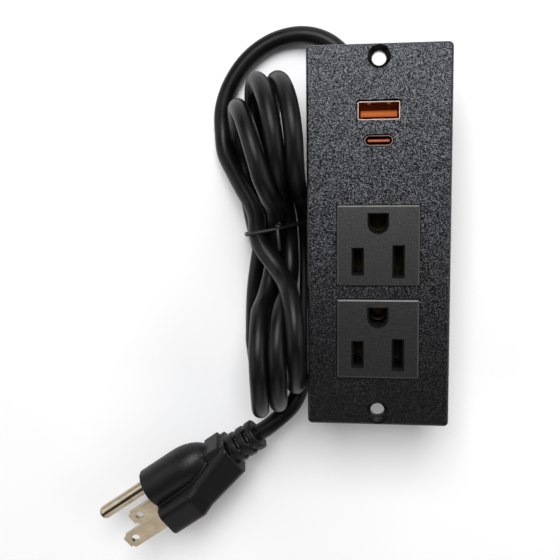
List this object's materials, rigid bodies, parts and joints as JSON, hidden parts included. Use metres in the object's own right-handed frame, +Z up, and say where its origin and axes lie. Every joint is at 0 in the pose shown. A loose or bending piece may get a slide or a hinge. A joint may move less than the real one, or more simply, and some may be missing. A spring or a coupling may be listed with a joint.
{
  "type": "power strip",
  "caption": "Flush-mounting furniture power strip: screw-fixed plate with grounded outlets and charging ports, rear box, tied mains cord and three-prong plug.",
  "frame": {"origin": "middle of the rear housing's back, below the middle of the face plate, on the surface the strip lies on", "axes": "+X across the plate, +Y along the plate toward the charging ports and the cord's exit, +Z up and out of the plate's face"},
  "size_m": [0.1229, 0.1842, 0.04],
  "materials": {
    "plate": "fine spark-eroded grain",
    "outlet": "smooth matt",
    "rear": "smooth matt",
    "insulator": "matt resin",
    "brass": "bright",
    "steel": "bright",
    "tongue": "satin",
    "contact": "gold plated",
    "board": "solder mask",
    "ferrite": "matt",
    "tape": "satin",
    "can": "sleeved",
    "chip": "matt",
    "wire_black": "satin",
    "wire_white": "satin",
    "wire_green": "satin",
    "cord": "satin",
    "plug": "satin, fine grain",
    "prong": "nickel plated"
  },
  "bodies": {
    "root": {"face_plate": "plate", "rear_housing": "rear", "housing_screws": "steel", "socket_upper": "outlet", "socket_lower": "outlet", "contact_base": "insulator", "hot_bus": "brass", "neutral_bus": "brass", "ground_bus": "brass", "usb_board": "board", "usb_a_shell": "steel", "usb_a_tongue": "tongue", "usb_a_contacts": "contact", "usb_c_shell": "steel", "usb_c_tongue": "tongue", "usb_c_contacts": "contact", "transformer_core": "ferrite", "transformer_coil": "tape", "capacitors": "can", "charger_chips": "chip", "board_screws": "steel", "board_links": "brass", "hot_wire": "wire_black", "neutral_wire": "wire_white", "ground_wire": "wire_green", "strain_relief": "plug", "cord_lead": "cord", "cord_hank": "cord", "cord_tail": "cord", "twist_tie": "cord", "plug_body": "plug", "plug_bridge": "insulator", "plug_hot_blade": "prong", "plug_neutral_blade": "prong", "plug_ground_pin": "prong"}
  },
  "joints": []
}
